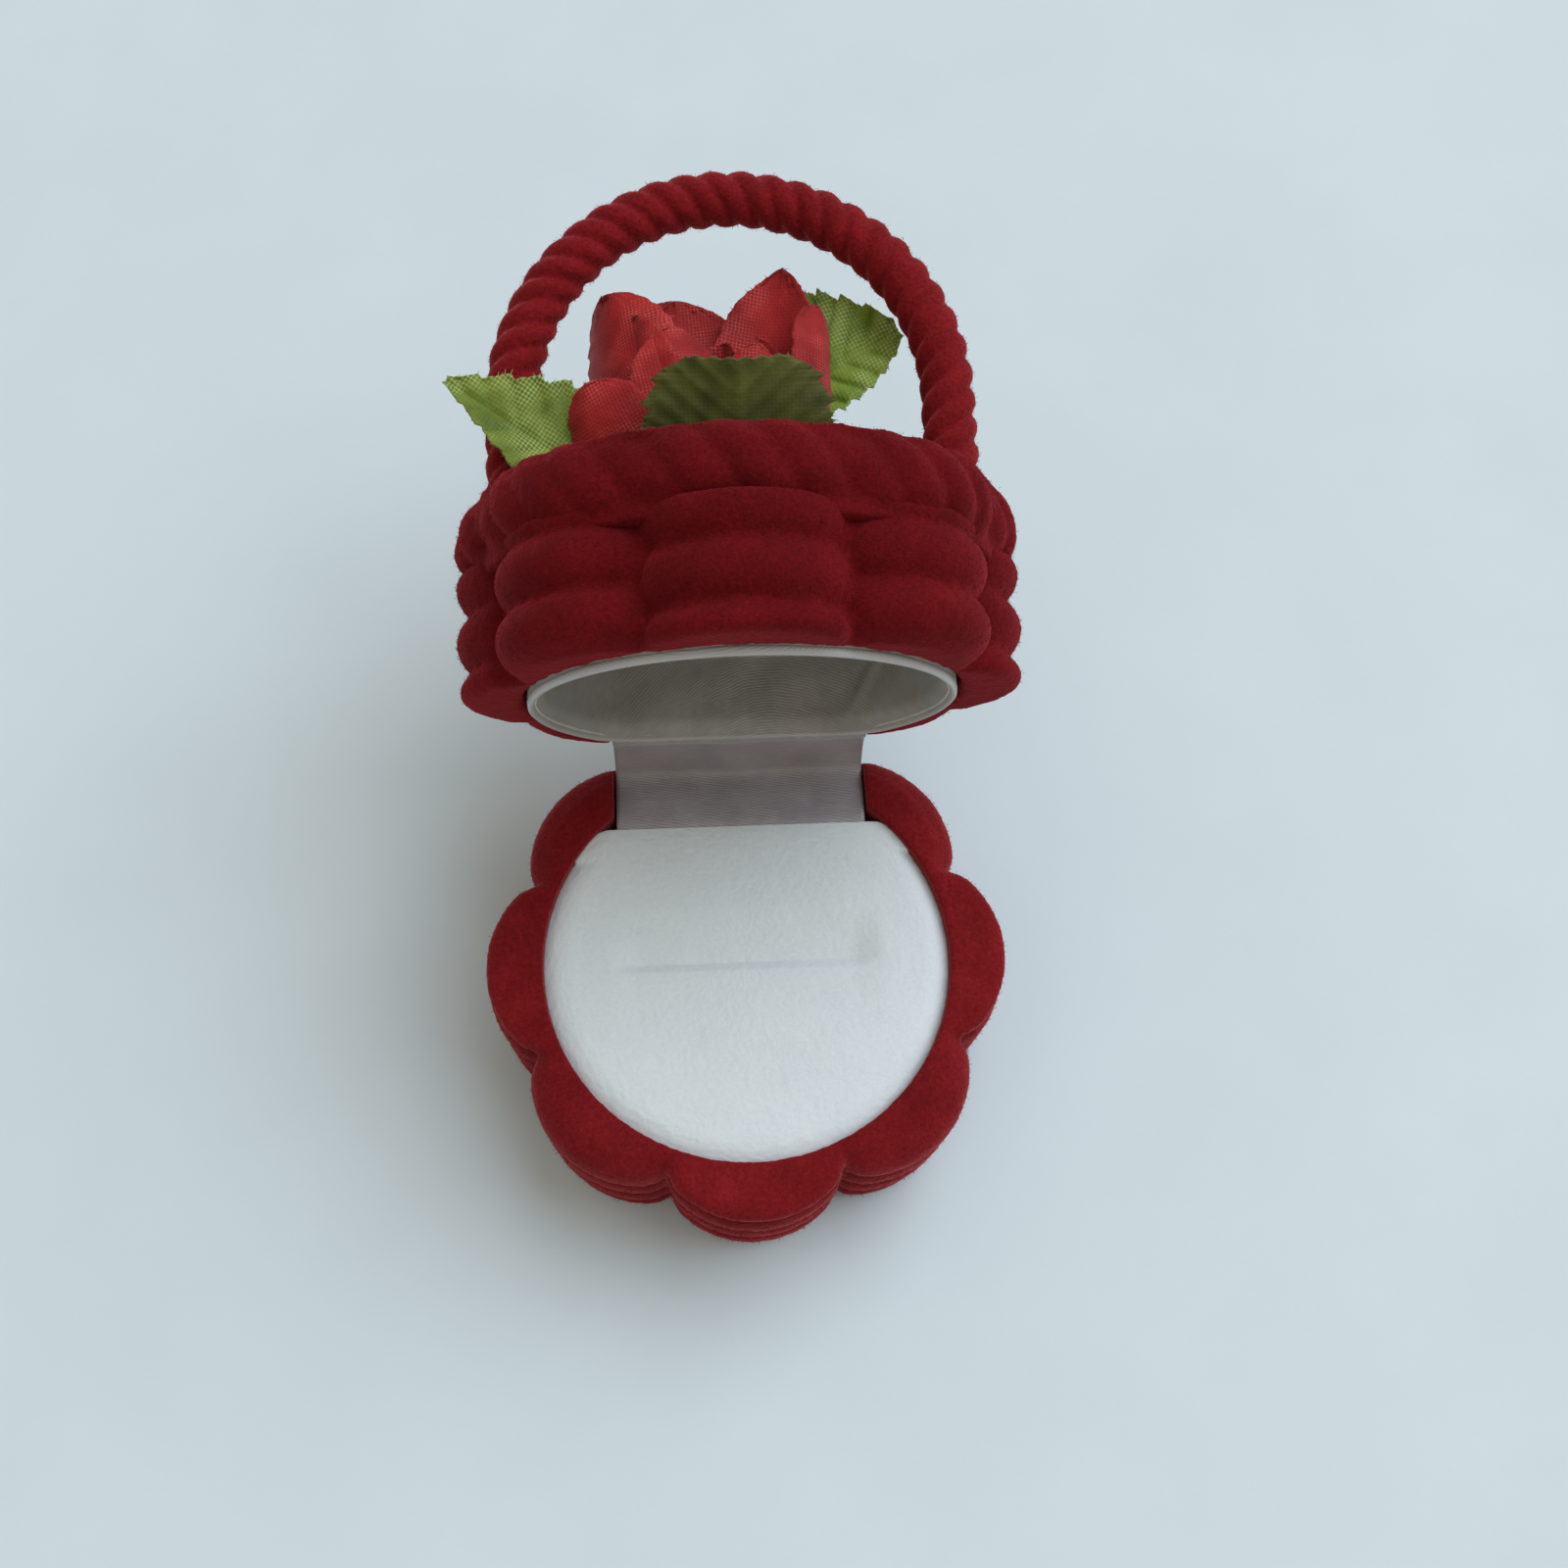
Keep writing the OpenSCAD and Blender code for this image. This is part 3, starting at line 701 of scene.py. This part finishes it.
def curve_through(points, count):
    """A smooth line through points, evenly spaced."""
    p = np.asarray(points, float)
    padded = np.vstack([2 * p[0] - p[1], p, 2 * p[-1] - p[-2]])
    line = []
    for i in range(1, len(padded) - 2):
        a, b, c, d = padded[i - 1:i + 3]
        for t in np.linspace(0, 1, 24, endpoint=False):
            line.append(0.5 * (2 * b + (c - a) * t + (2 * a - 5 * b + 4 * c - d) * t ** 2
                               + (3 * b - a - 3 * c + d) * t ** 3))
    line = np.array(line + [p[-1]])
    along = np.concatenate([[0], np.cumsum(np.linalg.norm(np.diff(line, axis=0), axis=1))])
    even = np.linspace(0, along[-1], count)
    return np.stack([np.interp(even, along, line[:, k]) for k in range(p.shape[1])], axis=-1)


def make_ribbon():
    """One ribbon from under the insert, down into the hinge gap and up under the liner."""
    top = on_lid([[0, LINER_CUT_Y + 0.5, -0.4], [0, LINER_CUT_Y + 0.4, 1.4]])
    path = [(12.9, 17.6), (14.0, 18.6), (15.0, 18.95), (17.2, 18.75), (19.3, 18.45),
            (20.45, 18.75), (20.95, 19.8), (21.3, 22.0), (21.35, 24.4)]
    path += [tuple(point[1:]) for point in top]
    line = curve_through(path, 90)
    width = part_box("ribbon_base")[1][0] * 2 / MM
    across = np.linspace(-0.5, 0.5, 60)
    step = np.linalg.norm(np.diff(line, axis=0), axis=1)
    along = np.concatenate([[0], np.cumsum(step)])
    tangent = np.gradient(line, axis=0)
    normal = np.stack([-tangent[:, 1], tangent[:, 0]], axis=-1)
    normal /= np.linalg.norm(normal, axis=1, keepdims=True)
    points, uv = [], []
    for (y, z), d, n in zip(line, along, normal):
        share = d / along[-1]
        loose = math.sin(math.pi * share) ** 2
        belly = 0.38 * loose * np.cos(across * math.pi * 1.15) ** 2
        wave = 0.10 * loose * np.sin(across * 17 + 3 * share) + belly
        points.append(np.stack([across * width, y + n[0] * wave, z + n[1] * wave], axis=-1))
        uv.append(np.stack([across * width, np.full_like(across, d)], axis=-1))
    ribbon = mesh("satin_ribbon_cloth", np.array(points).reshape(-1, 3),
                  grid_faces(len(line), len(across)), RIBBON, uv=np.array(uv).reshape(-1, 2))
    thicken(ribbon, RIBBON_T)
    applied(ribbon)
    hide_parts("ribbon_base", "ribbon_lid")
    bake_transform(ribbon)


# ---------------------------------------------------------------- rose and leaves

def frays(name, edges, material, length, count, seed):
    """Loose threads along the cut edges: thin three-sided hairs that curl away."""
    rng = np.random.default_rng(seed)
    points, faces = [], []
    for edge_points, outward in edges:
        picks = rng.integers(0, len(edge_points), count)
        for k in picks:
            root = edge_points[k]
            out = outward[k] + rng.normal(0, 0.35, 3)
            out /= np.linalg.norm(out)
            side = np.cross(out, rng.normal(0, 1, 3))
            side /= np.linalg.norm(side)
            reach = length * rng.uniform(0.3, 1.0)
            bend = rng.normal(0, 0.35) * reach
            first = len(points)
            for t, w in ((0.0, 0.045), (0.5, 0.035), (1.0, 0.012)):
                centre = root - out * 0.15 + out * reach * t + side * bend * t * t
                third = np.cross(out, side)
                for q in range(3):
                    a = 2 * math.pi * q / 3
                    points.append(centre + w * (math.cos(a) * side + math.sin(a) * third))
            for r in (0, 1):
                for q in range(3):
                    a, b = first + r * 3 + q, first + r * 3 + (q + 1) % 3
                    faces.append((a, b, b + 3, a + 3))
            faces.append((first + 2, first + 1, first))
            faces.append((first + 6, first + 7, first + 8))
    hair = mesh(name, on_lid(np.array(points)), faces, material)
    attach(hair, "lid")
    return hair


def petal(root, tip, out, width, belly, cup, point, seed):
    """One petal's grid of points and cloth coordinates, over the lid's mouth.

    It runs from its root to its tip, bulges towards out, is cupped across, and ends rounded
    (point 0) or sharp (point 1)."""
    rng = np.random.default_rng(seed)
    rows, columns = 36, 25
    t = (1 - (1 - np.linspace(0, 1, rows)) ** 1.7)[:, None]
    u = np.linspace(-1, 1, columns)[None, :]
    root, tip = np.array(root, float), np.array(tip, float)
    axis = tip - root
    across = np.cross(axis, np.array(out, float))
    across /= np.linalg.norm(across)
    outward = np.cross(across, axis)
    outward /= np.linalg.norm(outward)
    body = np.sin(math.pi * (0.13 + 0.60 * t ** 0.9)) ** 0.6
    start = 0.62 - 0.35 * point
    end = (1 - np.clip((t - start) / (1 - start), 0, 1) ** 2) ** (0.5 + 0.35 * point)
    half = np.maximum(width / 2 * body * end, 0.10)
    frayed = 1 + 0.03 * rng.normal(0, 1, (rows, 1)) * (t > 0.15)
    side = half * u * frayed
    ripple = 0.30 * np.sin(u * 3.6 + seed) * t ** 2 * (1 - 0.7 * t)
    curl = 0.25 * np.clip(t - 0.8, 0, 1) * 5 * u ** 2
    swell = belly * np.sin(math.pi * t ** 0.85) - cup * half * u ** 2 + ripple + curl
    rise = t + 0.008 * rng.normal(0, 1, (1, columns)) * (t > 0.9)
    points = (root + rise[..., None] * axis + side[..., None] * across
              + swell[..., None] * outward)
    length = np.linalg.norm(axis)
    return points, np.stack([side, rise * length], axis=-1)


def petals(name, node, specs, seed):
    """A die-cut layer of petals, as one sheet of cloth, with its loose threads."""
    points, uv, faces, edges, cloths = [], [], [], [], []
    for index, spec in enumerate(specs):
        grid, cloth = petal(*spec, seed + index)
        cloths.append(cloth)
        rows, columns = grid.shape[:2]
        faces += grid_faces(rows, columns, first=sum(len(p) for p in points))
        points.append(grid.reshape(-1, 3))
        uv.append(cloth.reshape(-1, 2))
        for line, inner in ((grid[6:, 0], grid[6:, 1]), (grid[6:, -1], grid[6:, -2]),
                            (grid[-1], grid[-2])):
            edges.append((line, (line - inner)
                          / np.linalg.norm(line - inner, axis=1, keepdims=True)))
    sheet = mesh(name, on_lid(np.vstack(points)), faces, PETAL, uv=np.vstack(uv))
    thicken(sheet, FLOWER_CLOTH_T)
    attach(sheet, "lid")
    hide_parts(node)
    hair = frays(name + "_threads", edges, PETAL, 0.55, 26, seed)


def make_rose():
    """Three layers of petals, each as petal()'s arguments but its seed."""
    outer = [
        ((-6.2, 0.5, 22), (-11.8, 0.8, 40.2), (-0.66, -0.75, 0), 11.6, 1.9, 0.45, -0.1),
        ((-3.4, 2.5, 22), (-5.2, 4.6, 41.1), (-0.1, 1, 0), 14.8, 1.2, 0.16, 0.0),
        ((0.6, 1.5, 22), (5.5, 2.6, 43.4), (0.3, 0.92, 0), 10.8, 1.4, 0.32, 0.38),
        ((6.4, -0.8, 22), (8.7, 0.4, 38.5), (0.70, -0.70, 0), 5.6, 1.0, 0.35, -0.5),
        ((-7.0, -3.0, 18), (-13.4, -6.4, 28.6), (-0.35, -0.85, -0.3), 8.8, 1.2, 0.28, -0.2),
        ((1.6, -3.0, 19), (6.4, -6.2, 27.5), (0.5, -0.8, -0.2), 8.0, 0.8, 0.35, 0.2)]
    middle = [
        ((-5.6, -1.5, 22), (-8.8, -1.8, 37.2), (-0.85, -0.5, 0), 7.6, 1.0, 0.45, 0.3),
        ((-3.4, -2.6, 21), (-5.8, -3.2, 35.4), (0.25, -0.97, 0), 9.6, 1.0, 0.28, 0.1),
        ((0.4, -2.2, 21), (2.6, -2.8, 33.6), (0.2, -0.98, 0), 6.8, 0.9, 0.40, 0.1),
        ((1.6, 1.8, 22), (1.2, 4.2, 37.6), (0.2, 0.98, 0), 9.6, 1.0, 0.30, 0.1)]
    inner = [
        ((-3.8, 0.6, 22), (-5.6, 1.0, 36.4), (-0.9, 0.3, 0), 7.0, 0.9, 0.6, 0.1),
        ((-1.4, 1.2, 22), (-0.6, 2.2, 35.8), (0.6, 0.8, 0), 7.0, 0.9, 0.6, 0.1),
        ((-2.0, -1.2, 22), (-2.2, -1.4, 33.2), (0.3, -0.95, 0), 7.0, 0.9, 0.6, 0.1)]
    petals("rose_outer_cloth", "rose_outer_petals", outer, 11)
    petals("rose_middle_cloth", "rose_middle_petals", middle, 31)
    petals("rose_inner_cloth", "rose_inner_petals", inner, 51)


def make_bud():
    """The heart: a strip of cloth rolled into a tapering cone."""
    rows, columns = 40, 150
    t = np.linspace(0, 1, rows)[:, None]
    w = np.linspace(0, 1, columns)[None, :]
    turns, strip_height = 1.9, 10.5
    strip_length = turns * 2 * math.pi * 1.3 * (0.5 + 2.1 / 2)
    turn = w * 2 * math.pi * turns + math.radians(140)
    radius = (0.5 + 2.1 * w) * (0.55 + 0.75 * np.sin(math.pi * (0.12 + 0.62 * t)))
    height = -0.5 + (strip_height - 0.9 + 0.9 * np.cos(turn - math.radians(200))) * t
    points = np.stack([ROSE[0] + radius * np.cos(turn), ROSE[1] + radius * np.sin(turn),
                       ROSE[2] + height], axis=-1)
    uv = np.stack([w * strip_length + 0 * t, t * strip_height + 0 * w], axis=-1)
    bud = mesh("rose_bud_cloth", on_lid(points.reshape(-1, 3)), grid_faces(rows, columns), PETAL,
               uv=uv.reshape(-1, 2))
    thicken(bud, FLOWER_CLOTH_T)
    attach(bud, "lid")
    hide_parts("rose_bud")


def leaf(name, node, stalk, bearing, rise, turn, length, width, bend, material, seed,
         blunt=0.0, teeth=9, veins=6, fold=0.14, narrow=(1, 1.0), pleat=1.0, slim=0.0):
    """A die-cut leaf: toothed edges, a pressed midrib and slanting side veins.

    It starts at its stalk, over the lid's mouth, and points along bearing and rise, rolled by
    turn. bend lifts its tip, blunt squares it off, and slim tapers it. narrow is the side that
    is narrower, -1 or 1, and its share of the half width."""
    rng = np.random.default_rng(seed)
    rows, columns = 90, 41
    t = np.linspace(0, 1, rows)[:, None]
    u = np.linspace(-1, 1, columns)[None, :]
    body = np.sin(math.pi * (0.02 + 0.96 * t) ** 0.78) ** (0.72 - 0.38 * blunt)
    saw = (t * teeth) % 1.0
    tooth = 1 + (0.13 - 0.07 * min(blunt, 1)) * (0.5 - saw) * (t > 0.12) * (t < 0.97)
    ragged = 1 + 0.02 * rng.normal(0, 1, (rows, 1))
    half = np.clip(width / 2 * body * tooth * ragged, 0.12, None)
    half = half * np.where(u * narrow[0] > 0, narrow[1], 1.0) * (1 - slim * t ** 3)
    x = length * t + 0.35 * (0.5 - saw) * np.abs(u) ** 3 * (t > 0.1)
    x = x + 0.30 * min(blunt, 1) * np.abs(np.sin(u * 10)) * t ** 10
    y = half * u
    z = bend * t ** 2 + fold * half * np.abs(u)
    midrib = -0.30 * np.exp(-(y / 0.35) ** 2)
    slant = (t * length - np.abs(y) * 0.85) / (length / (veins + 1))
    vein = -0.26 * np.exp(-(((slant % 1.0) - 0.5) / 0.13) ** 2) * (np.abs(u) < 0.93)
    puff = 0.34 * np.sin(math.pi * (slant % 1.0)) ** 2 * np.abs(u) * (1 - np.abs(u) ** 6)
    curl = 0.35 * np.sin(t * 7 + seed) * np.abs(u) ** 2
    z = z + pleat * (midrib + vein * np.clip(np.abs(y) / 0.6, 0, 1) - puff) + curl
    local = np.stack([x, y, z], axis=-1).reshape(-1, 3)
    turned = (Matrix.Translation(Vector(stalk))
              @ Matrix.Rotation(math.radians(bearing), 4, "Z")
              @ Matrix.Rotation(math.radians(-rise), 4, "Y")
              @ Matrix.Rotation(math.radians(turn), 4, "X"))
    m = np.array(turned)
    points = local @ m[:3, :3].T + m[:3, 3]
    cloth = np.stack([x, y], axis=-1)
    sheet = mesh(name, on_lid(points), grid_faces(rows, columns), material,
                 uv=cloth.reshape(-1, 2))
    thicken(sheet, FLOWER_CLOTH_T)
    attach(sheet, "lid")
    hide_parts(node)
    grid = points.reshape(rows, columns, 3)
    edges = [(line, (line - near) / np.linalg.norm(line - near, axis=1, keepdims=True))
             for line, near in ((grid[8:, 0], grid[8:, 1]), (grid[8:, -1], grid[8:, -2]))]
    hair = frays(name + "_threads", edges, material, 0.6, 45, seed)


def make_leaves():
    """The three leaves, as they spread from under the rose."""
    leaf("leaf_left_cloth", "leaf_left", (-8.4, -1.8, 17.6), 190, 33.5, -85, 22.0, 14.4, 0.6,
         LEAF, 3, fold=0.2, narrow=(1, 0.62), pleat=0.8, slim=0.45)
    leaf("leaf_right_cloth", "leaf_right", (2.8, 6.4, 30.9), -9, 25, 86, 15.6, 17.4, 0.4,
         PALE_LEAF, 5, blunt=0.25, veins=5, narrow=(-1, 0.56), pleat=1.3)
    # The front leaf's cloth is painted darker: painted shade on its underside.
    leaf("leaf_front_cloth", "leaf_front", (0.3, -7.4, 19.0), -90, 56, 0, 10.6, 17.2, 0.5,
         SHADED_LEAF, 8, blunt=1.35, teeth=5, veins=4, pleat=0.35)


# ---------------------------------------------------------------- hidden CAD parts

def finish_cad_nodes():
    """Materials for the CAD parts that are carried over as they are."""
    finishes = {"hinge_leaf_base": STEEL, "hinge_leaf_lid": STEEL, "hinge_pin": STEEL,
                "snap_springs": STEEL, "foam_block": FOAM, "liner_card": CARD,
                "rose_stem": STEM, "rose_calyx": STEM}
    for node, material in finishes.items():
        slots = frame["nodes"][node].material_slots
        if not slots:
            frame["nodes"][node].data.materials.append(material)
        for held in frame["nodes"][node].material_slots:
            held.link = "OBJECT"
            held.material = material


# ---------------------------------------------------------------- stage, lights and camera

def make_stage():
    """A plain pale tabletop."""
    side = 900
    tabletop = Shader("tabletop", Roughness=0.55, Specular_IOR_Level=0.35)
    mottle = tabletop.noise(26.0, detail=5.0)
    tabletop.set("Base Color", tabletop.ramp(mottle, [(0.3, (0.585, 0.665, 0.715)),
                                                      (0.7, (0.61, 0.695, 0.745))]))
    tabletop.set("Normal", tabletop.bump(tabletop.noise(1.1, detail=4.0), 0.03, 0.5))
    table = mesh("table", [[-side, -side, 0], [side, -side, 0], [side, side, 0],
                           [-side, side, 0]], [(0, 1, 2, 3)], tabletop.material)


def make_lights():
    """Broad daylight from high on the right and behind, over the room's warmer, even light."""
    key = bpy.data.lights.new("daylight", "SUN")
    key.angle = math.radians(58)
    key.energy = 2.02
    key.color = (0.87, 0.985, 1.10)
    lamp = bpy.data.objects.new("daylight", key)
    lamp.rotation_mode = "QUATERNION"
    lamp.rotation_quaternion = Vector((-0.60, -0.34, -1.0)).to_track_quat("-Z", "Y")
    bpy.context.scene.collection.objects.link(lamp)
    world = bpy.data.worlds.new("studio")
    world.use_nodes = True
    sky = next(n for n in world.node_tree.nodes if n.type == "BACKGROUND")
    sky.inputs["Color"].default_value = (1.02, 0.955, 0.82, 1)
    sky.inputs["Strength"].default_value = 0.515
    bpy.context.scene.world = world
    bpy.context.scene.view_settings.view_transform = "Standard"


def make_camera():
    """The view of the photograph: from above the front, a little to the left."""
    pitch, yaw, roll = math.radians(68.64), math.radians(-7.45), math.radians(5.06)
    back = Vector((math.sin(yaw) * math.cos(pitch), -math.cos(yaw) * math.cos(pitch),
                   math.sin(pitch)))
    right = Vector((0, 0, 1)).cross(back).normalized()
    up = back.cross(right)
    x = math.cos(roll) * right + math.sin(roll) * up
    y = -math.sin(roll) * right + math.cos(roll) * up
    lens = bpy.data.cameras.new("camera")
    lens.sensor_width = 36
    lens.lens = 47.26575
    lens.clip_start, lens.clip_end = 0.01, 10
    camera = bpy.data.objects.new("camera", lens)
    spot = Matrix((x, y, back)).transposed().to_4x4()
    spot.translation = Vector((-5.45, -58.09, 217.02)) * MM
    camera.matrix_world = spot
    bpy.context.scene.collection.objects.link(camera)
    bpy.context.scene.camera = camera


make_camera()
make_base()
make_lid()
make_rim()
make_handle()
make_insert()
make_liner()
make_ribbon()
make_rose()
make_bud()
make_leaves()
finish_cad_nodes()
make_stage()
make_lights()
